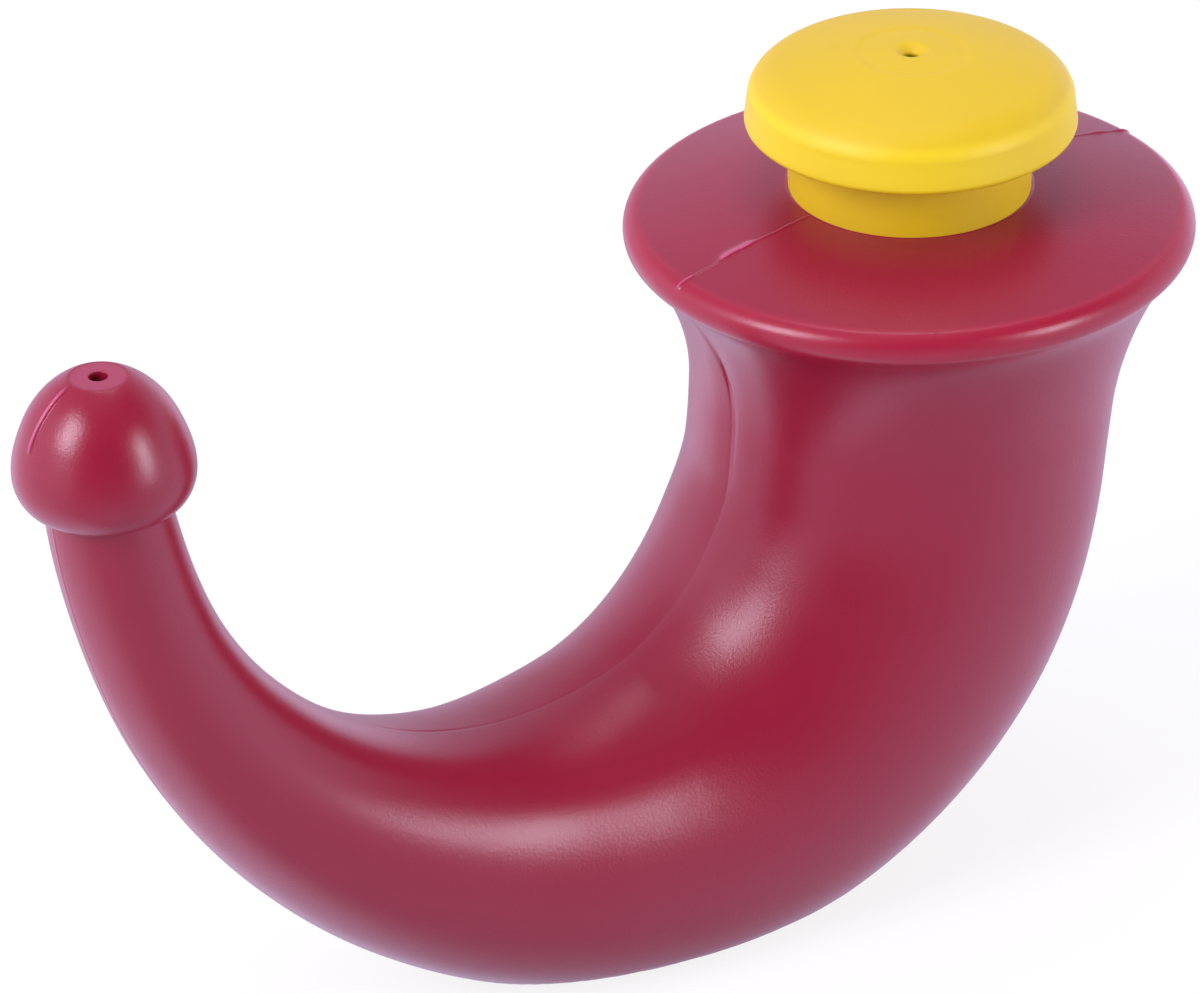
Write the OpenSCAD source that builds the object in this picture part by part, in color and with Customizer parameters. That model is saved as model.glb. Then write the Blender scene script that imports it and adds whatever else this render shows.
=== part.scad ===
// Nasal rinse pot. A hollow blow-moulded horn stands on a flat foot under its belly.
// Its thin arm ends in a bulb nozzle with a small outlet, and its wide end in a
// flanged head with a crowned top. A stopper with an air hole pushes into the head.
// X runs from the nozzle to the head, Z is up, and the origin is on the foot under
// the place where the centre line runs level.

/* [Horn centre line] */
// Height of the centre line over the foot, where it runs level
belly_h = 14; // [12:0.5:16]
// Bend radius from the foot up towards the head
head_bend_r = 43; // [38:1:50]
// Angle that the head bend turns through
head_bend_a = 83.6; // [78:0.1:88]
// Bend radius of the nearly straight neck above the head bend
neck_bend_r = 265; // [150:5:350]
// Bend radius from the foot towards the nozzle
hip_bend_r = 64; // [56:1:72]
// Angle that the hip bend turns through
hip_bend_a = 24; // [18:1:30]
// Bend radius of the arm's long middle bend
arm_bend_r = 74; // [66:1:84]
// Angle that the arm bend turns through
arm_bend_a = 47; // [40:1:52]
// Bend radius of the arm's last stretch under the bulb
tip_bend_r = 98; // [80:2:130]
// Angle that the last stretch turns through
tip_bend_a = 12; // [6:1:16]

/* [Horn thickness] */
// Outer diameter under the nozzle bulb
arm_end_d = 14.5; // [13:0.5:17]
// Outer diameter at one eighth of the horn's length
arm_d = 16.5; // [15:0.5:19]
// Outer diameter at two eighths
elbow_d = 21.7; // [20:0.1:24]
// Outer diameter at three eighths
hip_d = 30.6; // [28:0.1:33]
// Outer diameter at half the length
belly_d = 41.3; // [38:0.1:44]
// Outer diameter at five eighths
chest_d = 49.7; // [46:0.1:53]
// Outer diameter at six eighths
shoulder_d = 54; // [50:0.5:57]
// Outer diameter at seven eighths
neck_d = 53.4; // [50:0.1:57]
// Outer diameter that the flare starts from at the head
throat_d = 55.4; // [52:0.1:59]
// Width across the horn over its depth, half way along
squeeze = 0.96; // [0.92:0.01:1]
// Thickness of the horn's wall
wall = 1.8; // [1.2:0.1:2.2]
// Radius that softens the edge of the foot
foot_soft = 2.5; // [1:0.5:4]

/* [Head] */
// Diameter over the head's rolled rim
head_d = 72; // [68:1:78]
// Thickness of the rolled rim
bead_d = 4.2; // [4:0.1:5.5]
// Length of the flare under the rim
flare_len = 21; // [14:1:26]
// How late the flare opens: 1 is a cone, 2 a curve
flare_power = 2; // [1.4:0.1:3]
// Rise of the top plate from the rim to its middle
crown_h = 3.9; // [2:0.1:6]
// Depth of the crease between the rim and the top plate
crease = 0.3; // [0.2:0.05:0.6]
// Length of the sleeve that hangs under the filler hole
seat_len = 8; // [6:0.5:12]

/* [Nozzle bulb] */
// Largest diameter of the bulb
bulb_d = 21; // [19:0.5:24]
// Height of the bulb over the end of the arm
bulb_h = 16.1; // [14:0.1:19]
// Height of the bulb's widest place
bulb_waist_h = 4.4; // [3.6:0.1:6]
// Diameter of the flat tip
tip_d = 7.5; // [6:0.5:9]
// Thickness of the bulb at the tip
tip_wall = 2.4; // [1.8:0.1:3.5]
// Diameter of the outlet hole
outlet_d = 2.2; // [1.6:0.1:3]

/* [Stopper] */
// Diameter of the plug and of the neck above it
plug_d = 30; // [26:0.5:32]
// Radial gap between the plug and its seat
plug_gap = 0.05; // [0.02:0.01:0.1]
// Length of the plug under the middle of the head's top
plug_len = 9; // [7:0.5:12]
// Height of the chamfer that leads the plug in
plug_lead = 1.6; // [1:0.1:2.5]
// Height of the neck that shows under the cap
neck_h = 7.4; // [5:0.1:10]
// Largest diameter of the cap
cap_d = 40.8; // [38:0.2:46]
// Height of the cap's side
cap_side_h = 6.6; // [5:0.1:7.5]
// Height of the dome over the side
cap_dome_h = 3.4; // [2.5:0.1:5]
// Rounding of the cap's lower edge
cap_edge = 0.9; // [0.5:0.1:1.5]
// How far the cap's side leans in from bottom to top
cap_taper = 0.4; // [0.1:0.1:1]
// Rounding of the cap's shoulder
cap_round = 2.5; // [1.5:0.1:4]
// Thickness of the stopper's wall
cap_wall = 2.2; // [1.8:0.1:2.6]
// Diameter of the air hole
air_d = 1.8; // [1:0.1:2.4]
// Diameter of the wide mouth of the air hole
air_mouth_d = 4; // [3:0.2:6]
// Depth of that mouth under the cap's top
air_dish = 1.2; // [0.6:0.1:1.5]

/* [Hidden] */
sides = 36;
round_fn = 96;
overlap = 0.1;

// Bends of the centre line: radius, heading where it starts, heading where it ends.
// A heading of 0 is level towards the head, and 90 is straight up.
hip_from = -hip_bend_a;
arm_from = hip_from - arm_bend_a;
tip_from = arm_from - tip_bend_a;
bends = [
    [tip_bend_r, tip_from, arm_from],
    [arm_bend_r, arm_from, hip_from],
    [hip_bend_r, hip_from, 0],
    [head_bend_r, 0, head_bend_a],
    [neck_bend_r, head_bend_a, 90]
];
function total(v) = v * [for (i = v) 1];
function within(a, b) = max(b[1], min(b[2], a));
function line_x(a) = total([for (b = bends) b[0] * (sin(within(a, b)) - sin(within(0, b)))]);
function line_z(a) =
    belly_h + total([for (b = bends) b[0] * (cos(within(0, b)) - cos(within(a, b)))]);
function line_s(a) = total([for (b = bends) b[0] * (within(a, b) - b[1]) * PI / 180]);
horn_len = line_s(90);
head_x = line_x(90);
rim_z = line_z(90);
bulb_x = line_x(tip_from);
bulb_z = line_z(tip_from);

// Smooth width law through the diameters at every eighth of the length.
widths = [arm_end_d, arm_d, elbow_d, hip_d, belly_d, chest_d, shoulder_d, neck_d, throat_d];
spans = len(widths) - 1;
function width_at(i) =
    i < 0 ? 2 * widths[0] - widths[1] :
    i > spans ? 2 * widths[spans] - widths[spans - 1] : widths[i];
function blend(a, b, c, d, t) =
    (2 * b + (c - a) * t + (2 * a - 5 * b + 4 * c - d) * t * t
    + (3 * b - 3 * c + d - a) * t * t * t) / 2;
function plain_d(s, i) =
    blend(width_at(i - 1), width_at(i), width_at(i + 1), width_at(i + 2), s * spans / horn_len - i);
bead_r = bead_d / 2;
rim_r = head_d / 2 - bead_r;
function flare_at(s) = pow(max(0, 1 - (horn_len - s) / flare_len), flare_power);
function horn_r(s) =
    plain_d(s, max(0, min(spans - 1, floor(s * spans / horn_len)))) / 2
    + (rim_r - throat_d / 2) * flare_at(s);
function squeeze_at(s) = 1 - (1 - squeeze) * sin(180 * s / horn_len);

// The horn's skins come down to the foot along a soft curve and then run level.
function settle(z, floor_z) =
    let (d = z - floor_z)
    d > foot_soft ? z :
    d < -foot_soft ? floor_z : floor_z + (d + foot_soft) * (d + foot_soft) / (4 * foot_soft);
function ring(x, z, a, r, k, floor_z) = [
    for (i = [0:sides - 1])
        let (f = 360 * i / sides)
        [x - r * cos(f) * sin(a), r * k * sin(f), settle(z + r * cos(f) * cos(a), floor_z)]
];
headings = concat(
    [for (i = [0:3]) tip_from + tip_bend_a * i / 4],
    [for (i = [0:9]) arm_from + arm_bend_a * i / 10],
    [for (i = [0:5]) hip_from + hip_bend_a * i / 6],
    [for (i = [0:17]) head_bend_a * i / 18],
    [for (i = [0:8]) head_bend_a + (90 - head_bend_a) * i / 8]
);
bulb_floor = 1.6 * wall;
function skin(inset, floor_z) = concat(
    [ring(bulb_x, bulb_z + bulb_floor / 2, -90, arm_end_d / 2 - overlap - inset, 1, floor_z)],
    [for (a = headings)
        ring(line_x(a), line_z(a), a, horn_r(line_s(a)) - inset, squeeze_at(line_s(a)), floor_z)],
    [ring(head_x, rim_z + bead_r, 90, rim_r - inset, 1, floor_z)]
);

// One closed wall: an outer and an inner skin joined by a flat ring at each end.
module shell_between(outer, inner) {
    n = len(outer);
    rings = concat(outer, inner);
    function at(k, i) = k * sides + i % sides;
    polyhedron(
        points = [for (r = rings) each r],
        faces = concat(
            [for (k = [0:n - 2], i = [0:sides - 1])
                each [[at(k, i), at(k, i + 1), at(k + 1, i + 1)],
                    [at(k, i), at(k + 1, i + 1), at(k + 1, i)]]],
            [for (k = [n:2 * n - 2], i = [0:sides - 1])
                each [[at(k, i), at(k + 1, i + 1), at(k, i + 1)],
                    [at(k, i), at(k + 1, i), at(k + 1, i + 1)]]],
            [for (i = [0:sides - 1])
                each [[at(0, i), at(n, i + 1), at(0, i + 1)],
                    [at(0, i), at(n, i), at(n, i + 1)]]],
            [for (i = [0:sides - 1])
                each [[at(n - 1, i), at(n - 1, i + 1), at(2 * n - 1, i + 1)],
                    [at(n - 1, i), at(2 * n - 1, i + 1), at(2 * n - 1, i)]]]
        )
    );
}

function arc(x, y, r, from, to, steps) = [
    for (i = [0:steps]) let (a = from + (to - from) * i / steps) [x + r * cos(a), y + r * sin(a)]
];
function oval(x, y, rx, ry, from, to, steps) = [
    for (i = [0:steps]) let (a = from + (to - from) * i / steps) [x + rx * cos(a), y + ry * sin(a)]
];

// Crowned top plate: its rise at radius r over the top of the rim.
plate_edge_z = rim_z + bead_d - crease;
function crown_z(r) = plate_edge_z + crown_h * (1 - pow(r / rim_r, 2));
top_z = crown_z(0);
seat_r = plug_d / 2 + plug_gap;
crown_steps = [for (i = [0:10]) seat_r + (rim_r - seat_r) * i / 10];

module head_section() {
    translate([rim_r, rim_z + bead_r]) circle(r = bead_r, $fn = 48);
    polygon(concat(
        [for (r = crown_steps) [r, crown_z(r)]],
        [for (i = [0:10]) [crown_steps[10 - i], crown_z(crown_steps[10 - i]) - wall]]
    ));
    translate([seat_r, crown_z(seat_r) - seat_len]) square([wall, seat_len - wall / 2]);
}

// Bulb: a rounded underside, a tall oval side and a flat tip.
module bulb_outline(inset, tip, low) {
    r = bulb_d / 2 - inset;
    neck = arm_end_d / 2 - inset;
    end_a = acos(max(tip, 1) / r);
    polygon(concat(
        [[0, low], [neck, low]],
        oval(neck, bulb_waist_h, r - neck, bulb_waist_h - max(low, 0), -90, 0, 8),
        oval(0, bulb_waist_h, r, (bulb_h - bulb_waist_h - (low > 0 ? tip_wall : 0)) / sin(end_a),
            6, end_a, 9),
        [[0, bulb_h - (low > 0 ? tip_wall : 0)]]
    ));
}

module bulb_section() {
    difference() {
        bulb_outline(0, tip_d / 2, 0);
        bulb_outline(wall, tip_d / 2 - wall, bulb_floor);
        translate([0, -1]) square([arm_end_d / 2 - wall, bulb_floor + 1 + overlap]);
        square([outlet_d / 2, bulb_h + 1]);
    }
}

module horn_body() {
    color([0.6, 0.2, 0.34])
    difference() {
        union() {
            shell_between(skin(0, -overlap), skin(wall, wall));
            translate([head_x, 0, 0]) rotate_extrude($fn = round_fn) head_section();
            translate([bulb_x, 0, bulb_z]) rotate_extrude($fn = round_fn) bulb_section();
        }
        translate([-horn_len, -head_d, -head_d]) cube([2 * horn_len, 2 * head_d, head_d]);
    }
}

// Stopper: hollow plug and neck, a wide cap with a rounded shoulder, and a domed top.
cap_side_r = cap_d / 2 - cap_taper;
dome_r = cap_side_r - cap_round / 2;
cap_top = neck_h + cap_side_h + cap_dome_h;
function dome_z(r) = neck_h + cap_side_h + cap_dome_h * (1 - pow(r / dome_r, 2));

module stopper_section() {
    r = plug_d / 2;
    shoulder = cap_side_r - cap_round;
    core_r = r - cap_wall;
    difference() {
        polygon(concat(
            [[0, -plug_len], [r - plug_lead / 2, -plug_len], [r, -plug_len + plug_lead], [r, neck_h]],
            arc(cap_d / 2 - cap_edge, neck_h + cap_edge, cap_edge, -90, 0, 4),
            arc(shoulder, neck_h + cap_side_h - cap_round, cap_round, 0, 70, 7),
            [for (i = [1:9]) let (q = dome_r * (1 - i / 10)) [q, dome_z(q)]],
            [[0, cap_top]]
        ));
        polygon(concat(
            [[0, -plug_len - 1], [core_r, -plug_len - 1]],
            [for (i = [0:6]) let (q = core_r * (1 - i / 6)) [q, dome_z(q) - cap_wall]]
        ));
        square([air_d / 2, cap_top + 1]);
        translate([0, cap_top - air_dish]) square([air_mouth_d / 2, air_dish + 1]);
    }
}

module filler_cap() {
    color([0.95, 0.78, 0.16])
    translate([head_x, 0, top_z]) rotate_extrude($fn = round_fn) stopper_section();
}

horn_body();
filler_cap();
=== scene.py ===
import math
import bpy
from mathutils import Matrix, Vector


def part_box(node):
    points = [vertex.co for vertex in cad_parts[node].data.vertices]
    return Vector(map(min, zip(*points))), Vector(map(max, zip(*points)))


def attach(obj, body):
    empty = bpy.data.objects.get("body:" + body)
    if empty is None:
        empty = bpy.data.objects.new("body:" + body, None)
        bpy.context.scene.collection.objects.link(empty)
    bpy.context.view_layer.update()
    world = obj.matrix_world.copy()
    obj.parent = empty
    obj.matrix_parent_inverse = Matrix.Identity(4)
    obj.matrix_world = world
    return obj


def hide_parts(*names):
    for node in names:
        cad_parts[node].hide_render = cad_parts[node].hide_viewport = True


bl_info = {
    "name": "Nasal Rinse Pot",
    "version": (1, 0, 0),
    "blender": (4, 5, 0),
    "location": "View3D > Sidebar > Rinse Pot",
    "description": "Skins of the horn and its stopper, their plastics, and the studio round them",
    "category": "Object",
}

import bpy
import numpy as np
from mathutils import Matrix, Vector

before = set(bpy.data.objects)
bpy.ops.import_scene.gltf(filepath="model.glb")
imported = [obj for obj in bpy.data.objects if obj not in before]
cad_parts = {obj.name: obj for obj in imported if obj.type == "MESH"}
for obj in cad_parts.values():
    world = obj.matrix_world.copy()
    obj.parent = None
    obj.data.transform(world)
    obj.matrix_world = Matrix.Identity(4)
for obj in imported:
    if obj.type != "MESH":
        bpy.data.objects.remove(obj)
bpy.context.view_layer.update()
STOPPER_LOW, STOPPER_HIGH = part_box("filler_cap")
MM = 0.001

# Details that stay as they are. Places along the horn run from 0 at the bulb to 1 at the rim.

HORN_SIDES = 160
STOPPER_SIDES = 144
PARTING_CROWD = 0.88        # how closely the horn's sides crowd round the parting
BULB_TURN = 9 * MM          # length over which the arm turns upright under the bulb
TIP_WALL = 2.4 * MM         # thickness of the tip round the outlet
OUTLET_EDGE = 0.1 * MM
TIP_EDGE = 0.12 * MM
SEAT_EDGE = 0.05 * MM
TIP_PAINTED_REFLECTION = 0.52             # how strong the painted reflection on the cut tip is, as a height of flash
PAINTED_LIGHT_FROM = 0.985           # where along the horn the painted light under the rim begins
HOOK_AT = 0.345             # place of the hook's bottom
NECK_AT = 0.84              # where the grooves under the rim begin
FLASH_W = 0.30 * MM         # half width of the flash on the bulb
GROOVE_H, GROOVE_W = 0.09 * MM, 0.26 * MM
CREASE_H, CREASE_W = 0.15 * MM, 0.48 * MM
RIDGE_H, RIDGE_W = 0.05 * MM, 0.24 * MM
DISC_SINK, DISC_EDGE = 0.16 * MM, 1.2 * MM
CEILING = 0.3 * MM          # plastic left under the air hole's mouth
MOUTH_LIP = 0.35 * MM       # rounding of that mouth
CAP_CORNER = 0.4 * MM       # rounding between the cap's underside and the neck
PAINTED_LIGHT_SIDE = 1.4 * MM        # width of the painted light on the cap's side

# Finishes: roughness, then height and size of the fine grain and of the slow waves.

HORN_FINISH = (0.30, (0.026 * MM, 0.38 * MM), (0.05 * MM, 9 * MM))
STOPPER_FINISH = (0.52, (0.008 * MM, 0.5 * MM), (0.03 * MM, 8 * MM))

# Softboxes: name, azimuth and elevation in degrees, width and height in metres, brightness.
# The last two light the pot and aren't mirrored in it.

LAMP_COLOUR = (0.88, 0.87, 1.0)
MIRRORED_LAMPS = (
    ("lamp_left", -88, 36, 0.36, 0.54, 12.7),
    ("lamp_right", 24, 18, 0.26, 0.45, 13.4),
    ("lamp_back", 140, 72, 0.40, 0.16, 4.2))
SOFT_LAMPS = (
    ("lamp_above", -40, 86, 0.60, 0.60, 2.6),
    ("lamp_fill", 75, 20, 0.60, 0.60, 1.6))

# Bright cards round the pot: azimuth and elevation in degrees, the cosines at which a card's
# soft edge begins and ends, brightness.

CARD_COLOUR = (1.04, 1.0, 1.38)
CARDS = (
    (-116, 0, 0.58, 0.92, 1.18),
    (-112, -58, 0.80, 0.97, 1.65),
    (50, -25, 0.80, 0.97, 1.10),
    (118, -4, 0.94, 0.99, 1.50),
    (96, 70, 0.93, 0.99, 1.00),
    (-172, -42, 0.80, 0.97, 1.32),
    (150, 18, 0.90, 0.98, 0.74),
    (150, -28, 0.90, 0.97, 0.70))
WALL_COLOUR = (0.95, 0.88, 1.24, 1.0)
CEILING_COLOUR = (0.54, 0.50, 0.72, 1.0)
ZENITH_COLOUR = (0.38, 0.33, 0.48, 1.0)
GROUND_COLOUR = (0.76, 0.70, 0.96, 1.0)
DARK_GAP = (0.04, 0.03, 0.05, 1.0)
DARK_CARD = (0.09, 0.08, 0.12, 1.0)
GROUND_BOUNCE = (0.58, 0.55, 0.63, 1.0)


# Sizes and colours that a user may change.


def length(name, millimetres, description):
    """A length property: given here in millimetres, kept in metres."""
    return bpy.props.FloatProperty(
        name=name, description=description, default=millimetres * MM, precision=5, unit="LENGTH")


def turn(name, degrees, description):
    """An angle property: given here in degrees, kept in radians."""
    return bpy.props.FloatProperty(
        name=name, description=description, default=math.radians(degrees), subtype="ANGLE")


def share(name, value, description):
    """A plain number property between 0 and 1."""
    return bpy.props.FloatProperty(
        name=name, description=description, default=value, min=0.0, max=1.0, subtype="FACTOR")


def colour(name, value, description):
    """A colour property."""
    return bpy.props.FloatVectorProperty(
        name=name, description=description, default=value, size=3, min=0.0, max=1.0,
        subtype="COLOR")


class HornSizes(bpy.types.PropertyGroup):
    belly_h: length("Belly height", 14,
                    "Height of the centre line over the foot, where it runs level")
    head_bend_r: length("Head bend", 43, "Bend radius from the foot up towards the head")
    head_bend_a: turn("Head bend angle", 83.6, "Angle that the head bend turns through")
    neck_bend_r: length("Neck bend", 265, "Bend radius of the nearly straight neck")
    hip_bend_r: length("Hip bend", 64, "Bend radius from the foot towards the nozzle")
    hip_bend_a: turn("Hip bend angle", 24, "Angle that the hip bend turns through")
    arm_bend_r: length("Arm bend", 74, "Bend radius of the arm")
    arm_bend_a: turn("Arm bend angle", 47, "Angle that the arm bend turns through")
    tip_bend_r: length("Tip bend", 98, "Bend radius under the bulb")
    tip_bend_a: turn("Tip bend angle", 12, "Angle that the last stretch turns through")
    widths: bpy.props.FloatVectorProperty(
        name="Diameters",
        description="Outer diameters at every eighth of the length, from the bulb to the throat",
        size=9, unit="LENGTH",
        default=[d * MM for d in (14.5, 16.5, 21.7, 30.6, 41.3, 49.7, 54.0, 53.4, 55.4)])
    squeeze: share("Squeeze", 0.96, "Width across the horn over its depth, half way along")
    wall: length("Wall", 1.8, "Thickness of the wall")
    foot_soft: length("Foot edge", 1.4, "Radius that softens the edge of the foot")
    head_d: length("Head", 71.5, "Diameter over the rolled rim")
    head_oval: share("Head oval", 0.030,
                     "How much narrower the head is across the mould's parting")
    lip_r: length("Rim lip", 2.15, "Rounding of the rim's lower lip")
    girth_r: length("Rim girth", 2.75, "Rounding of the rim's widest place")
    face_r: length("Rim face", 2.0, "Rounding of the rim's slanted face")
    edge_r: length("Rim edge", 2.6, "Rounding of the edge over that face")
    brow_r: length("Rim brow", 2.0, "Rounding between that edge and the top plate")
    lip_turn: turn("Rim lip angle", 49, "How far the lip turns under")
    flare_len: length("Flare", 21, "Length of the flare under the rim")
    flare_d: length("Flare width", 67.9, "Diameter that the flare opens to, without its lip")
    crown_h: length("Crown", 7.8, "Height of the top plate's middle over the end of the flare")
    seat_len: length("Seat", 8, "Length of the sleeve under the filler hole")
    bulb_d: length("Bulb", 21, "Largest diameter of the bulb")
    bulb_h: length("Bulb height", 16.1, "Height of the bulb over the end of the arm")
    bulb_waist_h: length("Bulb waist", 4.4, "Height of the bulb's widest place")
    bulb_pinch: length("Bulb pinch", 0.3,
                       "How much slimmer the bulb's upper half is than an ellipse")
    tip_d: length("Tip", 6.9, "Diameter of the flat tip")
    outlet_d: length("Outlet", 2.2, "Diameter of the outlet hole")
    flash_h: length("Flash", 0.3,
                    "Height of the flash that the mould's parting left on the plate and bulb")
    valley_w: length("Valley", 3.3,
                     "Half width of the parting's valley on the inside of the hook")
    valley_h: length("Valley depth", 0.32, "Depth of that valley at the neck")
    hook_flat: length("Hook flat", 0.8,
                      "How far the bottom of the hook is flattened along the parting")


class StopperSizes(bpy.types.PropertyGroup):
    plug_d: length("Plug", 30, "Diameter of the plug and the neck")
    plug_gap: length("Seat gap", 0.05, "Radial gap between the plug and its seat")
    plug_len: length("Plug length", 9, "Length of the plug under the middle of the head's top")
    plug_lead: length("Plug lead", 1.6, "Height of the chamfer on the plug's end")
    neck_h: length("Neck", 7.4, "Height of the neck that shows under the cap")
    cap_d: length("Cap", 40.8, "Largest diameter of the cap")
    cap_side_h: length("Cap side", 6.6, "Height of the cap's side")
    cap_dome_h: length("Cap dome", 3.4, "Height of the dome over the side")
    cap_edge: length("Cap edge", 0.9, "Rounding of the cap's lower edge")
    cap_taper: length("Cap taper", 0.4, "How far the side leans in")
    cap_round: length("Cap shoulder", 3.8, "Width of the cap's broad rounded shoulder")
    cap_drop: length("Cap shoulder drop", 2.7, "Height of that shoulder down the side")
    cap_disc_d: length("Cap disc", 13.4, "Diameter of the faint disc round the air hole")
    cap_wall: length("Cap wall", 2.2, "Thickness of the stopper's wall")
    air_d: length("Air hole", 1.8, "Diameter of the air hole")
    air_mouth_d: length("Air hole mouth", 4, "Diameter of the air hole's wide mouth")
    air_dish: length("Air hole depth", 1.15, "Depth of that mouth's cone")


class PlasticLooks(bpy.types.PropertyGroup):
    horn: colour("Horn plastic", (0.284, 0.0080, 0.029), "Colour of the raspberry plastic")
    # Painted light: a lighter colour on the rim and the end of the flare, standing in for the
    # stronger light from above and the glow through the plastic there.
    thin: colour("Thin plastic", (0.345, 0.0105, 0.033),
                 "Its lighter colour at the rim, where light gets through")
    # Painted highlight: the paler colour on the flash along the parting stands in for the
    # highlight on the raised ridge.
    flash: colour("Flash", (0.50, 0.08, 0.16), "Paler colour of the thin flash on the parting")
    stopper: colour("Stopper plastic", (0.705, 0.480, 0.0010), "Colour of the yellow plastic")
    # Painted light: the lighter colour on the cap's side stands in for the light that falls on its
    # band.
    side: colour("Stopper side", (0.80, 0.578, 0.002), "Its lighter colour at the cap's thin side")


class StudioSizes(bpy.types.PropertyGroup):
    azimuth: turn("Camera azimuth", -34.679,
                  "Turn of the camera round the pot, from straight in front")
    elevation: turn("Camera elevation", 30.119, "Height of the camera as an angle")
    roll: turn("Camera roll", -0.9, "Turn of the picture about the camera's own line")
    distance: length("Camera distance", 649.0,
                     "From the camera to the point that it looks at")
    focus_x: length("Focus across", -2.678,
                    "The point that the camera looks at, along X")
    focus_z: length("Focus height", 60.199,
                    "The point that the camera looks at, over the floor")
    lens: bpy.props.FloatProperty(
        name="Lens", description="Focal length in millimetres on a sensor 36 mm wide",
        default=160.32)


# Curves and surfaces as whole numpy arrays.


def smooth(t):
    """Smooth step: three times t squared less twice t cubed, with t held between 0 and 1."""
    t = np.clip(t, 0.0, 1.0)
    return t * t * (3.0 - 2.0 * t)


def arc(r, z, size_r, size_z, start, end, steps):
    """Radius and height along an ellipse: centre plus size times cosine and sine of the angle."""
    a = np.radians(np.linspace(start, end, steps))
    return np.stack([r + size_r * np.cos(a), z + size_z * np.sin(a)], axis=1)


def run(start, end, steps):
    """Radius and height along a straight line from start to end."""
    return np.linspace(start, end, steps)


def bend(start, end, corner, pull, steps):
    """Radius and height along a Bezier curve from start to end, whose two handles reach the
    given share of the way to the corner where the two tangents meet."""
    t = np.linspace(0.0, 1.0, steps)[:, None]
    start, end, corner = (np.array(p, dtype=float) for p in (start, end, corner))
    one, two = start + pull * (corner - start), end + pull * (corner - end)
    return ((1 - t) ** 3 * start + 3 * t * (1 - t) ** 2 * one
            + 3 * t ** 2 * (1 - t) * two + t ** 3 * end)


def joined(*parts):
    """One profile out of several, without the points that two neighbours share."""
    profile = np.concatenate(parts)
    step = np.linalg.norm(np.diff(profile, axis=0), axis=1)
    return profile[np.concatenate([[True], step > 1e-7])]


def parting_angles(count, crowd):
    """Angles round a ring, crowded where the mould's halves meet, at 0 and at half a turn:
    angle = t less crowd times half the sine of twice t, with t in even steps."""
    t = np.arange(count) * 2.0 * np.pi / count
    return t - crowd * np.sin(2.0 * t) / 2.0


def centre_line(horn, s):
    """Place and heading at length s from the bulb. The heading grows by one over the radius
    along each of five arcs, x adds up radius times the change of its sine, and z radius times
    the change of its cosine. The level place, after three arcs, is over the origin."""
    radii = np.array([horn.tip_bend_r, horn.arm_bend_r, horn.hip_bend_r, horn.head_bend_r,
                      horn.neck_bend_r])
    turns = np.array([horn.tip_bend_a, horn.arm_bend_a, horn.hip_bend_a, horn.head_bend_a,
                      math.pi / 2 - horn.head_bend_a])
    heading = np.concatenate([[0.0], np.cumsum(turns)]) - turns[:3].sum()
    reach = np.concatenate([[0.0], np.cumsum(radii * turns)])
    x = np.concatenate([[0.0], np.cumsum(radii * np.diff(np.sin(heading)))])
    z = np.concatenate([[0.0], np.cumsum(-radii * np.diff(np.cos(heading)))])
    x -= x[3]
    z += horn.belly_h - z[3]
    i = np.clip(np.searchsorted(reach, s, side="right") - 1, 0, 4)
    a = heading[i] + (s - reach[i]) / radii[i]
    return (x[i] + radii[i] * (np.sin(a) - np.sin(heading[i])),
            z[i] + radii[i] * (np.cos(heading[i]) - np.cos(a)), a)


def horn_length(horn):
    """Sum of radius times angle over the five arcs."""
    return (horn.tip_bend_r * horn.tip_bend_a + horn.arm_bend_r * horn.arm_bend_a
            + horn.hip_bend_r * horn.hip_bend_a + horn.head_bend_r * horn.head_bend_a
            + horn.neck_bend_r * (math.pi / 2 - horn.head_bend_a))


def plain_width(widths, t):
    """Diameter at t from 0 to 1: a Catmull-Rom curve through the nine diameters, whose ends run
    on straight."""
    w = np.array(widths)
    w = np.concatenate([[2 * w[0] - w[1]], w, [2 * w[-1] - w[-2]]])
    u = np.clip(t, 0.0, 1.0) * 8.0
    i = np.minimum(u.astype(int), 7)
    f = u - i
    a, b, c, d = w[i], w[i + 1], w[i + 2], w[i + 3]
    return (2 * b + (c - a) * f + (2 * a - 5 * b + 4 * c - d) * f ** 2
            + (3 * b - 3 * c + d - a) * f ** 3) / 2


def settle(z, floor, soft):
    """Height that comes down to the floor along a parabola and then stays level."""
    d = z - floor
    curve = floor + (d + soft) ** 2 / (4 * soft)
    return np.where(d > soft, z, np.where(d < -soft, floor, curve))


def rings(rows, angles):
    """A grid of points. Each row is a ring: its centre plus radius times the cosine of the angle
    towards the inside of the hook, plus radius, squeeze and the sine across. The inside of the
    hook lies a quarter turn from the heading."""
    x, z, a, r, k = (column[:, None] for column in rows.T)
    return np.stack([x - r * np.cos(angles) * np.sin(a), r * k * np.sin(angles),
                     z + r * np.cos(angles) * np.cos(a)], axis=2)


def upright(profile, x, heading, squeeze=1.0):
    """Rows of level rings round a vertical line at x, one for each radius and height."""
    one = np.ones(len(profile))
    return np.stack([x * one, profile[:, 1], heading * one, profile[:, 0], squeeze * one], axis=1)


def outward(points):
    """Unit normals of a grid that is closed both ways: the cross product of the steps along and
    round it."""
    along = np.roll(points, -1, axis=0) - np.roll(points, 1, axis=0)
    around = np.roll(points, -1, axis=1) - np.roll(points, 1, axis=1)
    normal = np.cross(along, around)
    return normal / np.maximum(np.linalg.norm(normal, axis=2, keepdims=True), 1e-12)


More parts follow.
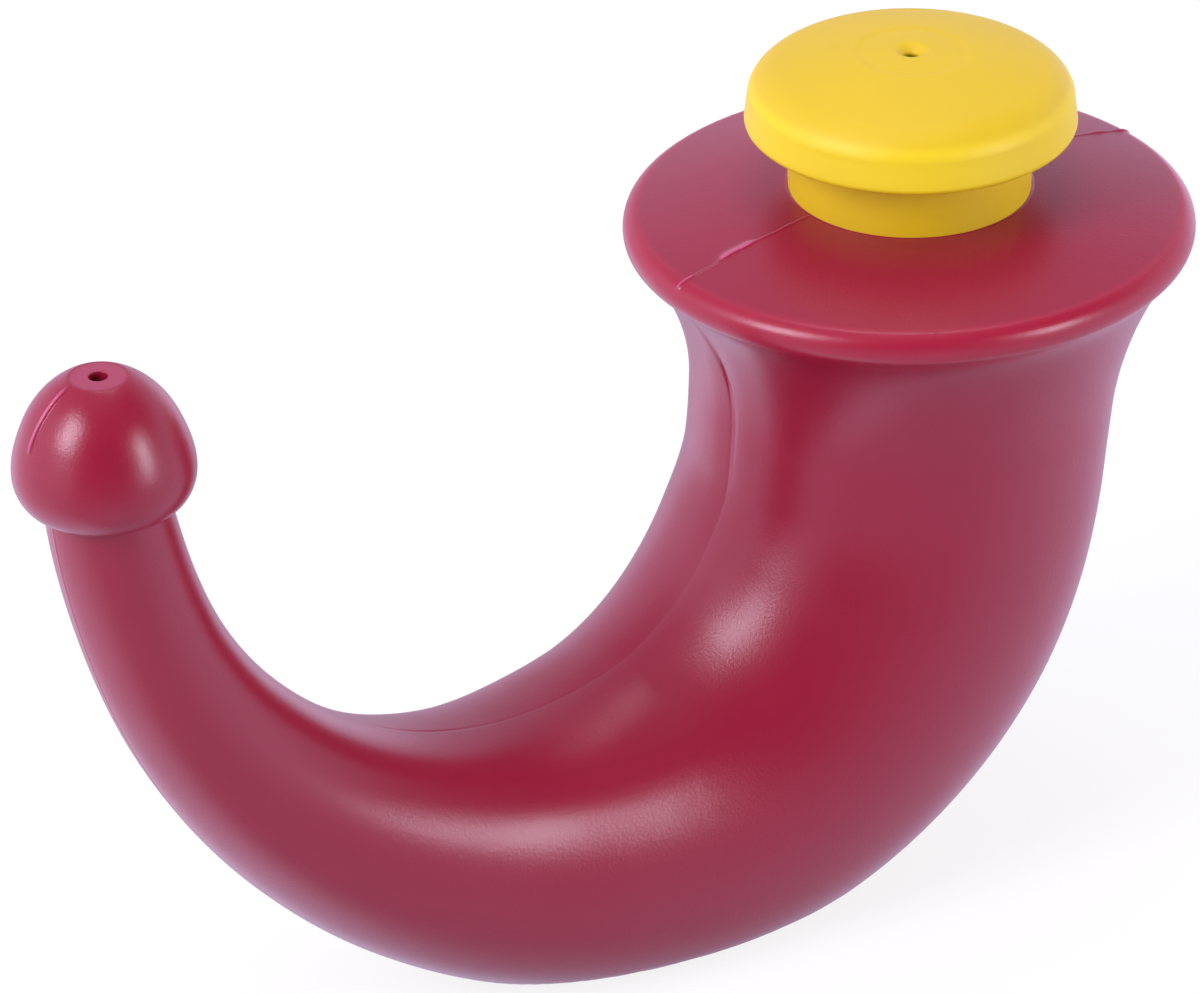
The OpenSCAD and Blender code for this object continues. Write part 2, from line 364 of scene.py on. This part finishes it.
def skin_object(name, points, body, node, material, marks):
    """A closed skin: a quad between every two neighbouring rings and angles, the last ring joined
    to the first. Its faces are turned so that the volume, a sixth of the sum of p · (q × r), is
    positive. Each mark is a number for every point, kept under its name for the material."""
    rows, sides = points.shape[:2]
    vertices = points.reshape(-1, 3)
    i, j = np.meshgrid(np.arange(rows), np.arange(sides), indexing="ij")
    down, right = (i + 1) % rows, (j + 1) % sides
    corners = (i * sides + j, i * sides + right, down * sides + right, down * sides + j)
    quads = np.stack(corners, axis=2).reshape(-1, 4)
    p, q, r, t = (vertices[quads[:, k]] for k in range(4))
    volume = (np.cross(q, r) * p).sum() + (np.cross(r, t) * p).sum()
    if volume < 0:
        quads = quads[:, ::-1]
    mesh = bpy.data.meshes.new(name)
    mesh.vertices.add(len(vertices))
    mesh.vertices.foreach_set("co", vertices.ravel())
    mesh.loops.add(quads.size)
    mesh.loops.foreach_set("vertex_index", quads.ravel())
    mesh.polygons.add(len(quads))
    mesh.polygons.foreach_set("loop_start", np.arange(0, quads.size, 4))
    mesh.polygons.foreach_set("use_smooth", np.ones(len(quads), dtype=bool))
    mesh.update(calc_edges=True)
    if mesh.validate():
        raise RuntimeError(name + " had faces that Blender had to mend")
    for mark, values in marks.items():
        mesh.attributes.new(mark, "FLOAT", "POINT").data.foreach_set("value", values.ravel())
    skin = bpy.data.objects.new(name, mesh)
    bpy.context.scene.collection.objects.link(skin)
    skin.data.materials.append(material)
    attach(skin, body)
    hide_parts(node)
    return skin


def bulb_profile(horn, inset, tip, low, high):
    """Half outline of the bulb, from the tip down: a quarter of a tall ellipse, less the pinch
    times a smooth step of the height, and a rounded underside that ends on the arm."""
    r = horn.bulb_d / 2 - inset
    neck = horn.widths[0] / 2 - inset
    end = math.acos((tip + horn.bulb_pinch) / r)
    rise = (high - horn.bulb_waist_h) / math.sin(end)
    upper = arc(0, horn.bulb_waist_h, r, rise, math.degrees(end), 0, 48)
    upper[:, 0] -= horn.bulb_pinch * smooth((upper[:, 1] - horn.bulb_waist_h) / (0.45 * rise))
    under = arc(neck, horn.bulb_waist_h, r - neck, horn.bulb_waist_h - low, 0, -90, 22)
    return joined(upper, under)


def rim_profile(horn, rim_z):
    """Half outline of the rim, from the end of the flare up: five arcs in a row that share their
    tangents, the lower lip, the girth, the slanted face, the edge and the brow to the plate. Each
    arc's centre lies on the line through the last one's centre and end."""
    ends = (-math.degrees(horn.lip_turn), -8.0, 20.0, 45.0, 62.0, 77.2)
    radii = (horn.lip_r, horn.girth_r, horn.face_r, horn.edge_r, horn.brow_r)
    steps = (13, 8, 10, 6, 7)
    lip_end = math.radians(ends[1])
    r = horn.head_d / 2 - horn.girth_r + (horn.girth_r - horn.lip_r) * math.cos(lip_end)
    z = rim_z - horn.lip_r * math.sin(math.radians(ends[0]))
    arcs = []
    for i, radius in enumerate(radii):
        if i:
            turn_to = math.radians(ends[i])
            r += (radii[i - 1] - radius) * math.cos(turn_to)
            z += (radii[i - 1] - radius) * math.sin(turn_to)
        arcs.append(arc(r, z, radius, radius, ends[i], ends[i + 1], steps[i]))
    return joined(*arcs)


def uneven(x):
    """A slow irregular wave between 0 and 1: half of one plus a sum of three sines."""
    return (0.5 + 0.25 * np.sin(0.9 * x + 0.6) + 0.15 * np.sin(2.3 * x + 2.0)
            + 0.1 * np.sin(4.1 * x))


def bell(x, width, power):
    """One at the middle and falling off: e to the minus x over the width, to the power."""
    return np.exp(-np.abs(x / width) ** power)


def horn_points(horn, stopper):
    """The horn's skins as one closed run of rings: out of the outlet, over the bulb, along the
    arm, belly and neck, round the rim, over the top plate, down the seat, and back along the
    inside at one wall's distance. Returns the points and two marks: how far the parting raised
    each, which also carries the painted highlight on the flash and the painted reflection on the
    cut tip, and the painted light on the rim and the end of the flare under it."""
    reach = horn_length(horn)
    rim = rim_profile(horn, 0.0)
    rim_r = rim[0, 0]
    seat_r = stopper.plug_d / 2 + stopper.plug_gap
    bulb_x, bulb_z, start = (float(v) for v in centre_line(horn, np.array(0.0)))
    head_x, rim_z, _ = (float(v) for v in centre_line(horn, np.array(reach)))
    rim = rim + [0, rim_z]
    hole = horn.outlet_d / 2
    lip_power = ((math.tan(horn.lip_turn) - (horn.flare_d - horn.widths[8]) / horn.flare_len)
                 * horn.flare_len / (rim_r - horn.flare_d / 2))

    def crown(r):
        """A parabola from the plate's middle to the end of the rim's brow."""
        top = rim_z + horn.crown_h
        return top - (top - rim[-1, 1]) * (r / rim[-1, 0]) ** 2

    def bulb_rows(profile):
        return upright(profile + [0, bulb_z], bulb_x, -math.pi / 2)

    def sweep_rows(s, inset):
        x, z, a = centre_line(horn, s)
        flare = np.clip(1 - (reach - s) / horn.flare_len, 0, None)
        r = (plain_width(horn.widths, s / reach) / 2 - inset
             + (horn.flare_d - horn.widths[8]) / 2 * flare ** 2
             + (rim_r - horn.flare_d / 2) * flare ** lip_power)
        k = 1 - (1 - horn.squeeze) * np.sin(np.pi * s / reach) - horn.head_oval * flare ** 2
        ease = 1 - smooth(s / BULB_TURN)
        a = a + (-math.pi / 2 - start) * ease
        return np.stack([x, z, a, r, k], axis=1)

    def head_rows(profile):
        rows = upright(profile, head_x, math.pi / 2)
        rows[:, 4] -= horn.head_oval * smooth((profile[:, 0] - seat_r) / (0.8 * (rim_r - seat_r)))
        return rows

    top = horn.bulb_h
    outlet = joined(
        run((hole, top - TIP_WALL), (hole, top - OUTLET_EDGE), 6),
        arc(hole + OUTLET_EDGE, top - OUTLET_EDGE, OUTLET_EDGE, OUTLET_EDGE, 180, 90, 5),
        run((hole + OUTLET_EDGE, top), (horn.tip_d / 2 - TIP_EDGE, top), 10))
    bulb = joined(outlet, bulb_profile(horn, 0, horn.tip_d / 2, 0, top))
    reaches = np.concatenate([np.linspace(0.5 * MM, reach - horn.flare_len, 170),
                              np.linspace(reach - horn.flare_len, reach, 44)[1:-1]])
    plate_r = np.linspace(rim[-1, 0], seat_r + SEAT_EDGE, 52)
    head = joined(
        rim,
        np.stack([plate_r, crown(plate_r)], axis=1),
        arc(seat_r + SEAT_EDGE, crown(seat_r) - SEAT_EDGE, SEAT_EDGE, SEAT_EDGE, 90, 180, 4),
        run((seat_r, crown(seat_r) - 0.3 * MM), (seat_r, crown(seat_r) - horn.seat_len), 8))
    under_r = np.linspace(seat_r + horn.wall, rim_r - 2.6 * MM, 12)
    inner_head = joined(
        run((seat_r + horn.wall, crown(seat_r) - horn.seat_len),
            (seat_r + horn.wall, crown(seat_r) - 2 * horn.wall), 6),
        np.stack([under_r, crown(under_r) - horn.wall], axis=1),
        run((rim_r - horn.wall, rim_z + 1.4 * MM), (rim_r - horn.wall, rim_z + 0.5 * MM), 2))
    inner_bulb = bulb_profile(horn, horn.wall, horn.tip_d / 2 - horn.wall, 1.6 * horn.wall,
                              top - TIP_WALL)
    outer = np.concatenate([bulb_rows(bulb), sweep_rows(reaches, 0), head_rows(head)])
    inner = np.concatenate([
        head_rows(inner_head),
        sweep_rows(np.linspace(reach, 4 * MM, 60), horn.wall),
        bulb_rows(inner_bulb[::-1][::3])])
    rows = np.concatenate([outer, inner])
    angles = parting_angles(HORN_SIDES, PARTING_CROWD)
    points = rings(rows, angles)
    lift = np.zeros(points.shape[:2])
    y = points[:, :, 1]
    inside = np.cos(angles) > 0
    one, two, three = len(bulb), len(bulb) + len(reaches), len(outer)
    lift[:one] = bulb_flash(horn, bulb, y[:one], ~inside)
    lift[one:two] = arm_lines(horn, reaches / reach, y[one:two], inside)
    lift[two:three] = plate_flash(horn, head, rim, y[two:three], inside)
    form = np.zeros_like(lift)
    form[one:two] = hook_form(horn, reaches / reach, angles)
    points = points + (lift + form)[:, :, None] * outward(points)
    # Painted highlight: the flash's height, as a share of flash_h, turns the plastic to the paler
    # flash colour.
    parting = lift / horn.flash_h
    # Painted reflection: the cut tip's rings take part of the paler flash colour.
    parting[len(outlet) - 10:len(outlet) - 1] = TIP_PAINTED_REFLECTION
    # Painted light: a lighter colour over the last stretch of the flare and the rim, up to just
    # inside the plate's edge.
    thin = np.zeros_like(lift)
    thin[one:two] = smooth((reaches / reach - PAINTED_LIGHT_FROM) / 0.015)[:, None]
    thin[two:three] = smooth((head[:, 0] - rim[-1, 0] + 0.9 * MM) / (1.2 * MM))[:, None]
    floor = np.where(np.arange(len(rows)) < len(outer), 0.0, horn.wall)[:, None]
    points[:, :, 2] = settle(points[:, :, 2], floor, horn.foot_soft)
    return points, {"parting": parting, "thin": thin}


def bulb_flash(horn, profile, y, side):
    """Height of the flash down the bulb's far side: a bell of the distance from the parting,
    between a little under the tip and somewhat over half its height."""
    h = profile[:, 1] / horn.bulb_h
    along = smooth((h - 0.57) / 0.05) * smooth((1.0 - h) / 0.05) * (np.arange(len(h)) > 20)
    return horn.flash_h * along[:, None] * bell(y, FLASH_W, 3) * side


def hook_form(horn, t, angles):
    """How far the hook's bottom departs from a round section: lower than it at the parting,
    rising as minus a cosine to a fuller side a sixth of a turn away, which fades out towards the
    foot and along the horn."""
    off = np.abs(np.arctan2(np.sin(angles), np.cos(angles)))
    across = -np.cos(np.minimum(3.1 * off, np.pi)) * (1 - smooth((off - 1.4) / 1.2))
    along = smooth((t - 0.19) / 0.18) * smooth((0.63 - t) / 0.18)
    return horn.hook_flat * along[:, None] * across


def plate_flash(horn, profile, rim, y, inside):
    """Height of the flash over the plate and the rim's upper edge: a bell that is steep on the
    side of the camera, and whose width and height wander along the radius. One stretch on the
    inside of the hook is pressed flat and wide."""
    r = profile[:, 0][:, None]
    upto = rim[-1, 0]
    row = np.arange(len(profile))[:, None]
    wander = uneven(r / (1.7 * MM) + np.where(inside, 0.0, 4.0))
    wide = np.where(inside, smooth((r / MM - 23.0) / 1.5) * smooth((29.5 - r / MM) / 1.5), 0.0)
    along = smooth((row - 20) / 6.0) * smooth((r - r.min() - 0.15 * MM) / (0.6 * MM))
    full = np.maximum(np.maximum(wander ** 2, wide), smooth((r - upto + 1.6 * MM) / MM))
    high = np.where(inside, 1.0, 0.8) * (0.35 + 0.65 * full)
    ends = smooth((upto + 1.5 * MM - r) / (0.5 * MM))
    d = y / MM + 0.15 - 0.2 * wander
    width = np.where(d < 0, 0.13, 0.16 + 0.16 * wander + 0.6 * wide)
    return horn.flash_h * along * high * ends * bell(d, width, 3)


def arm_lines(horn, t, y, inside):
    """Height of the parting on the swept part, below 0 for a depth. On the inside of the hook it
    is a valley with straight flanks and a groove in it, deepest at the hook's bottom, and under
    the rim a wider crease that slants across. On the outside it is a fine ridge under the
    bulb. Groove, crease and ridge are bells of the distance from their middle."""
    t = t[:, None]
    deep = smooth((t - 0.30) / 0.45) * smooth((1.0 - t) / 0.06)
    flank = np.clip(1 - np.abs(y) / horn.valley_w, 0, 1)
    valley = -horn.valley_h * deep * flank * (0.35 + 0.65 * flank)
    strength = 0.15 + 0.85 * bell(t - HOOK_AT, 0.045, 2) + 0.5 * smooth((t - NECK_AT) / 0.1)
    groove = -GROOVE_H * smooth((t - 0.22) / 0.1) * strength * bell(y, GROOVE_W, 2)
    aside = y - MM * (1.8 * smooth((t - 0.90) / 0.10) - 0.7)
    crease = -CREASE_H * smooth((t - NECK_AT) / 0.08) * bell(aside, CREASE_W, 2)
    ridge = RIDGE_H * smooth((0.42 - t) / 0.2) * bell(y, RIDGE_W, 2)
    return np.where(inside, valley + groove + crease, ridge)


def stopper_points(stopper, horn_top, head_x):
    """The stopper's skin as one closed run of rings: up the air hole, over the dome and its
    shoulder, down the side, in under the cap, down the neck and plug, and back up inside. Returns
    the points and the mark of the painted light on the cap's side."""
    r = stopper.plug_d / 2
    side_r = stopper.cap_d / 2 - stopper.cap_taper
    top = stopper.neck_h + stopper.cap_side_h + stopper.cap_dome_h
    core = r - stopper.cap_wall
    hole = stopper.air_d / 2
    mouth = stopper.air_mouth_d / 2
    dish_z = top - stopper.air_dish
    dome_r = side_r - stopper.cap_taper

    def dome(q):
        """Height of the top: a parabola, lowered a little inside the faint disc."""
        sink = DISC_SINK * smooth((stopper.cap_disc_d / 2 + DISC_EDGE / 2 - q) / DISC_EDGE)
        return top - stopper.cap_dome_h * (q / dome_r) ** 2 - sink

    def hollow(q):
        """Height of the hollow's ceiling: one wall under the top, nearer to it at the air hole."""
        near = smooth((mouth + 1.5 * MM - q) / (1.5 * MM))
        return dome(q) - stopper.cap_wall + near * (stopper.cap_wall - stopper.air_dish - CEILING)

    lip = mouth + MOUTH_LIP
    edge = stopper.cap_edge
    over_r = side_r - stopper.cap_round
    over = np.linspace(lip, over_r, 60)
    under = np.linspace(core, hole, 24)
    side = (side_r, stopper.neck_h + stopper.cap_side_h - stopper.cap_drop)
    slant = 2 * stopper.cap_dome_h * over_r / dome_r ** 2
    corner = (side_r, dome(over_r) - slant * (side_r - over_r))
    profile = joined(
        run((hole, hollow(hole)), (hole, dish_z), 4),
        bend((hole, dish_z), (lip, dome(lip)), (mouth - 0.4 * MM, dome(mouth)), 0.5, 16),
        np.stack([over, dome(over)], axis=1),
        bend((over_r, dome(over_r)), side, corner, 0.56, 30),
        run(side, (stopper.cap_d / 2, stopper.neck_h + edge), 6),
        arc(stopper.cap_d / 2 - edge, stopper.neck_h + edge, edge, edge, 0, -90, 10),
        run((stopper.cap_d / 2 - edge, stopper.neck_h), (r + CAP_CORNER, stopper.neck_h), 6),
        arc(r + CAP_CORNER, stopper.neck_h - CAP_CORNER, CAP_CORNER, CAP_CORNER, 90, 180, 5),
        run((r, stopper.neck_h - 0.5 * MM), (r, stopper.plug_lead - stopper.plug_len), 20),
        run((r, stopper.plug_lead - stopper.plug_len),
            (r - stopper.plug_lead / 2, -stopper.plug_len), 4),
        run((core, -stopper.plug_len), (core, hollow(core)), 14),
        np.stack([under, hollow(under)], axis=1))
    rows = upright(profile + [0, horn_top], head_x, math.pi / 2)
    # Painted light: the cap's outer shoulder and side take a lighter colour, rising towards the
    # side.
    thin = smooth((profile[:, 0] - side_r + PAINTED_LIGHT_SIDE) / PAINTED_LIGHT_SIDE)
    angles = parting_angles(STOPPER_SIDES, 0.0)
    return rings(rows[:-1], angles), {"thin": np.repeat(thin[:-1, None], len(angles), axis=1)}


# Shader trees written as formulas.


class Value:
    """One socket of a node tree. Adding to it, multiplying it and dropping its sign add Math
    nodes."""

    def __init__(self, tree, socket):
        self.tree, self.socket = tree, socket

    def math(self, operation, *values):
        return add(self.tree, "ShaderNodeMath", {"operation": operation}, dict(enumerate(values)))

    def __add__(self, other):
        return self.math("ADD", self, other)

    __radd__ = __add__

    def __mul__(self, other):
        return self.math("MULTIPLY", self, other)

    __rmul__ = __mul__

    def __abs__(self):
        return self.math("ABSOLUTE", self)


def add(tree, kind, settings=None, inputs=None, output=0):
    """Adds a node: its settings first, then a value or a link for each named or numbered
    socket."""
    node = tree.nodes.new(kind)
    for name, value in (settings or {}).items():
        setattr(node, name, value)
    for key, value in (inputs or {}).items():
        if isinstance(value, Value):
            tree.links.new(value.socket, node.inputs[key])
        else:
            node.inputs[key].default_value = value
    return Value(tree, node.outputs[output]) if node.outputs else None


def noise(tree, place, scale, detail, roughness=0.5):
    """Smooth noise between 0 and 1 at a scale per metre."""
    return add(tree, "ShaderNodeTexNoise", None,
               {"Vector": place, "Scale": scale, "Detail": detail, "Roughness": roughness})


def slope(tree, value, low, high):
    """A smooth rise from 0 at low to 1 at high."""
    return add(tree, "ShaderNodeMapRange", {"interpolation_type": "SMOOTHSTEP"},
               {"Value": value, "From Min": low, "From Max": high})


def mixed(tree, share_of_b, a, b):
    """A colour between a and b."""
    return add(tree, "ShaderNodeMix", {"data_type": "RGBA"}, {0: share_of_b, 6: a, 7: b}, 2)


def new_material(name):
    """An empty node material with its output node."""
    material = bpy.data.materials.new(name)
    material.use_nodes = True
    material.node_tree.nodes.clear()
    return material, material.node_tree


def satin_plastic(name, base, finish, marks):
    """Moulded plastic: a slow drift of colour and gloss, and in its height the fine grain of
    the mould and the slow waves of the cooled wall. Each mark is a mark of the skin, the two
    values between which it takes effect, and the colour that it leads to."""
    roughness, grain, wave = finish
    material, tree = new_material(name)
    place = add(tree, "ShaderNodeTexCoord", None, None, 3)
    drift = noise(tree, place, 60.0, 2.0)
    fine = noise(tree, place, 1.0 / grain[1], 3.0, 0.65)
    slow = noise(tree, place, 1.0 / wave[1], 1.0)
    deep = tuple(0.95 * c for c in base) + (1.0,)
    pale = tuple(min(1.0, 1.05 * c + 0.001) for c in base) + (1.0,)
    tint = mixed(tree, drift, deep, pale)
    for mark, low, high, reached in marks:
        value = add(tree, "ShaderNodeAttribute", {"attribute_name": mark}, None, 2)
        tint = mixed(tree, slope(tree, value, low, high), tint, tuple(reached) + (1.0,))
    bump = add(tree, "ShaderNodeBump", None,
               {"Strength": 1.0, "Distance": 1.0, "Height": fine * grain[0] + slow * wave[0]})
    shader = add(tree, "ShaderNodeBsdfPrincipled", None,
                 {"Base Color": tint, "Roughness": roughness - 0.03 + 0.06 * drift,
                  "IOR": 1.5, "Normal": bump})
    add(tree, "ShaderNodeOutputMaterial", None, {"Surface": shader})
    return material


def white_ground(name, lit, glow):
    """Floor that is dark and glows evenly for the camera, so it stays white and still takes the
    pot's shadow."""
    material, tree = new_material(name)
    seen = add(tree, "ShaderNodeLightPath", None, None, 0)
    plain = add(tree, "ShaderNodeBsdfDiffuse", None, {"Color": GROUND_BOUNCE})
    bare = add(tree, "ShaderNodeBsdfDiffuse", None, {"Color": (lit, lit, lit, 1.0)})
    light = add(tree, "ShaderNodeEmission", None, {"Color": (1, 1, 1, 1), "Strength": glow})
    shown = add(tree, "ShaderNodeAddShader", None, {0: bare, 1: light})
    both = add(tree, "ShaderNodeMixShader", None, {0: seen, 1: plain, 2: shown})
    add(tree, "ShaderNodeOutputMaterial", None, {"Surface": both})
    return material


# Operators: one for each piece and one for the stage.


class POT_OT_horn(bpy.types.Operator):
    """Build the horn's skin and its raspberry plastic"""

    bl_idname = "rinse_pot.horn"
    bl_label = "Horn"

    def execute(self, context):
        scene = context.scene
        looks = scene.pot_looks
        points, marks = horn_points(scene.pot_horn, scene.pot_stopper)
        # The marks paint light into the colour: painted light on the rim, a painted highlight on
        # the flash, a painted reflection on the cut tip.
        plastic = satin_plastic("horn_plastic", looks.horn, HORN_FINISH,
                                (("thin", 0.0, 1.0, looks.thin),
                                 ("parting", 0.30, 0.95, looks.flash)))
        skin_object("horn_skin", points, "pot", "horn_body", plastic, marks)
        return {"FINISHED"}


class POT_OT_stopper(bpy.types.Operator):
    """Build the stopper's skin and its yellow plastic"""

    bl_idname = "rinse_pot.stopper"
    bl_label = "Stopper"

    def execute(self, context):
        stopper, looks = context.scene.pot_stopper, context.scene.pot_looks
        head_x = (STOPPER_LOW[0] + STOPPER_HIGH[0]) / 2
        horn_top = STOPPER_LOW[2] + stopper.plug_len
        points, marks = stopper_points(stopper, horn_top, head_x)
        # The mark paints light into the colour: a lighter colour on the cap's side.
        plastic = satin_plastic("cap_plastic", looks.stopper, STOPPER_FINISH,
                                (("thin", 0.0, 1.0, looks.side),))
        skin_object("stopper_skin", points, "stopper", "filler_cap", plastic, marks)
        return {"FINISHED"}


class POT_OT_studio(bpy.types.Operator):
    """Set the floor, the lamps, the world and the camera"""

    bl_idname = "rinse_pot.studio"
    bl_label = "Studio"

    def execute(self, context):
        scene = context.scene
        studio = scene.pot_studio
        self.camera(scene, studio)
        self.floor(scene)
        self.world(scene)
        for sizes in MIRRORED_LAMPS:
            self.lamp(scene, *sizes)
        for sizes in SOFT_LAMPS:
            self.lamp(scene, *sizes).visible_glossy = False
        scene.view_settings.view_transform = "Standard"
        return {"FINISHED"}

    def camera(self, scene, studio):
        a, e, t = studio.azimuth, studio.elevation, studio.roll
        back = Vector((math.sin(a) * math.cos(e), -math.cos(a) * math.cos(e), math.sin(e)))
        right = Vector((math.cos(a), math.sin(a), 0.0))
        up = back.cross(right)
        across = right * math.cos(t) + up * math.sin(t)
        above = up * math.cos(t) - right * math.sin(t)
        data = bpy.data.cameras.new("camera")
        data.sensor_width = 36.0
        data.lens = studio.lens
        data.clip_start = 0.01
        data.clip_end = 20.0
        camera = bpy.data.objects.new("camera", data)
        place = Vector((studio.focus_x, 0.0, studio.focus_z)) + back * studio.distance
        camera.matrix_world = Matrix((
            (across.x, above.x, back.x, place.x), (across.y, above.y, back.y, place.y),
            (across.z, above.z, back.z, place.z), (0.0, 0.0, 0.0, 1.0)))
        scene.collection.objects.link(camera)
        scene.camera = camera

    def floor(self, scene):
        mesh = bpy.data.meshes.new("floor")
        size, under = 6.0, -0.2 * MM
        mesh.from_pydata([(-size, -size, under), (size, -size, under), (size, size, under),
                          (-size, size, under)], [], [(0, 1, 2, 3)])
        floor = bpy.data.objects.new("floor", mesh)
        floor.data.materials.append(white_ground("floor_white", 0.16, 0.84))
        floor.visible_glossy = False
        scene.collection.objects.link(floor)

    def world(self, scene):
        world = bpy.data.worlds.new("studio_world")
        world.use_nodes = True
        tree = world.node_tree
        tree.nodes.clear()
        seen = add(tree, "ShaderNodeLightPath", None, None, 0)
        way = add(tree, "ShaderNodeTexCoord", None, None, 0)

        def along(azimuth, elevation=0.0):
            """Cosine of the angle between the view's way and the given one."""
            a, e = math.radians(azimuth), math.radians(elevation)
            given = (math.sin(a) * math.cos(e), -math.cos(a) * math.cos(e), math.sin(e))
            return add(tree, "ShaderNodeVectorMath", {"operation": "DOT_PRODUCT"},
                       {0: way, 1: given}, 1)

        rise = along(0, 90)
        tint = mixed(tree, slope(tree, rise, 0.30, 0.65), WALL_COLOUR, CEILING_COLOUR)
        tint = mixed(tree, slope(tree, rise, 0.85, 0.97), tint, ZENITH_COLOUR)
        tint = mixed(tree, slope(tree, rise, -0.60, -0.92), tint, GROUND_COLOUR)
        for azimuth, elevation, low, high, glow in CARDS:
            card = tuple(glow * c for c in CARD_COLOUR) + (1.0,)
            tint = mixed(tree, slope(tree, along(azimuth, elevation), low, high), tint, card)
        gap = (slope(tree, abs(along(60)), 0.76, 0.42) * slope(tree, rise, -0.75, 0.40)
               * slope(tree, along(-30), 0.05, 0.35))
        tint = mixed(tree, gap, tint, DARK_GAP)
        tint = mixed(tree, slope(tree, along(20, 52), 0.57, 0.80), tint, DARK_CARD)
        dim = add(tree, "ShaderNodeBackground", None, {"Color": tint, "Strength": 1.0})
        white = add(tree, "ShaderNodeBackground", None, {"Color": (1, 1, 1, 1), "Strength": 1.0})
        both = add(tree, "ShaderNodeMixShader", None, {0: seen, 1: dim, 2: white})
        add(tree, "ShaderNodeOutputWorld", None, {"Surface": both})
        scene.world = world

    def lamp(self, scene, name, azimuth, elevation, width, height, glow):
        """A softbox a metre from the pot, whose face is glow times as bright as lit white."""
        a, e = math.radians(azimuth), math.radians(elevation)
        place = Vector((math.sin(a) * math.cos(e), -math.cos(a) * math.cos(e), math.sin(e) + 0.05))
        data = bpy.data.lights.new(name, "AREA")
        data.shape = "RECTANGLE"
        data.size = width
        data.size_y = height
        data.energy = glow * math.pi * width * height
        data.color = LAMP_COLOUR
        lamp = bpy.data.objects.new(name, data)
        lamp.location = place
        aim = Vector((0.0, 0.0, 0.05)) - Vector(place)
        lamp.rotation_euler = aim.to_track_quat("-Z", "Y").to_euler()
        scene.collection.objects.link(lamp)
        return lamp


class POT_PT_panel(bpy.types.Panel):
    """Lists the operators that build the dressed pot"""

    bl_idname = "POT_PT_panel"
    bl_label = "Rinse Pot"
    bl_space_type = "VIEW_3D"
    bl_region_type = "UI"
    bl_category = "Rinse Pot"

    def draw(self, context):
        column = self.layout.column()
        column.operator("rinse_pot.horn")
        column.operator("rinse_pot.stopper")
        column.operator("rinse_pot.studio")


CLASSES = (HornSizes, StopperSizes, PlasticLooks, StudioSizes,
           POT_OT_horn, POT_OT_stopper, POT_OT_studio, POT_PT_panel)


def register():
    for one in CLASSES:
        bpy.utils.register_class(one)
    bpy.types.Scene.pot_horn = bpy.props.PointerProperty(type=HornSizes)
    bpy.types.Scene.pot_stopper = bpy.props.PointerProperty(type=StopperSizes)
    bpy.types.Scene.pot_looks = bpy.props.PointerProperty(type=PlasticLooks)
    bpy.types.Scene.pot_studio = bpy.props.PointerProperty(type=StudioSizes)


def unregister():
    del bpy.types.Scene.pot_studio
    del bpy.types.Scene.pot_looks
    del bpy.types.Scene.pot_stopper
    del bpy.types.Scene.pot_horn
    for one in reversed(CLASSES):
        bpy.utils.unregister_class(one)


def main():
    """Builds the pieces and the studio."""
    register()
    bpy.ops.rinse_pot.studio()
    bpy.ops.rinse_pot.horn()
    bpy.ops.rinse_pot.stopper()


if __name__ == "__main__":
    main()
